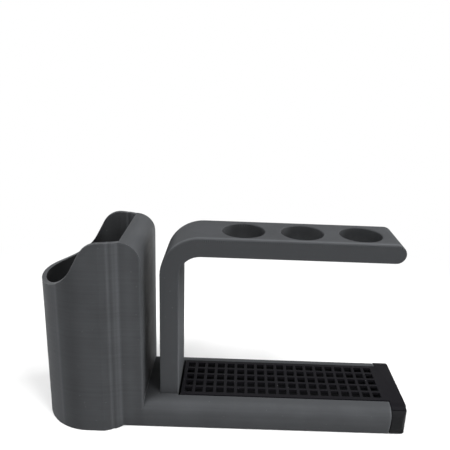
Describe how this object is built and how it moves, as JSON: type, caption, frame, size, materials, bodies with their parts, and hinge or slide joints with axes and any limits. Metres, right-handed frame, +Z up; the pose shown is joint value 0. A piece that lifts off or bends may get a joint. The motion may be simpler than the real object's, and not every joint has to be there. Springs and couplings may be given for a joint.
{
  "type": "toothbrush organizer",
  "caption": "Counter-top toothbrush organizer with a swept-rim toothpaste cup, a bent rack with brush holes, and a long base with a drip drawer under a perforated drain grid.",
  "frame": {"origin": "centre of the overall length and depth, on the counter", "axes": "+X along the length from the cup to the drawer's cap, +Y from the front to the back, +Z up"},
  "size_m": [0.1906, 0.0516, 0.103],
  "materials": {
    "grey_print": "layered satin",
    "black_print": "layered satin"
  },
  "bodies": {
    "holder": {"holder_body": "grey_print", "brush_rack": "grey_print"},
    "drawer": {"drip_drawer": "black_print"},
    "grid": {"drain_grid": "black_print"}
  },
  "joints": [
    {"name": "drawer_slide", "type": "slide", "parent": "holder", "child": "drawer", "axis": [1, 0, 0], "range_m": [0, 0.1]},
    {"name": "grid_lift", "type": "slide", "parent": "drawer", "child": "grid", "axis": [0, 0, 1], "range_m": [0, 0.03]}
  ]
}
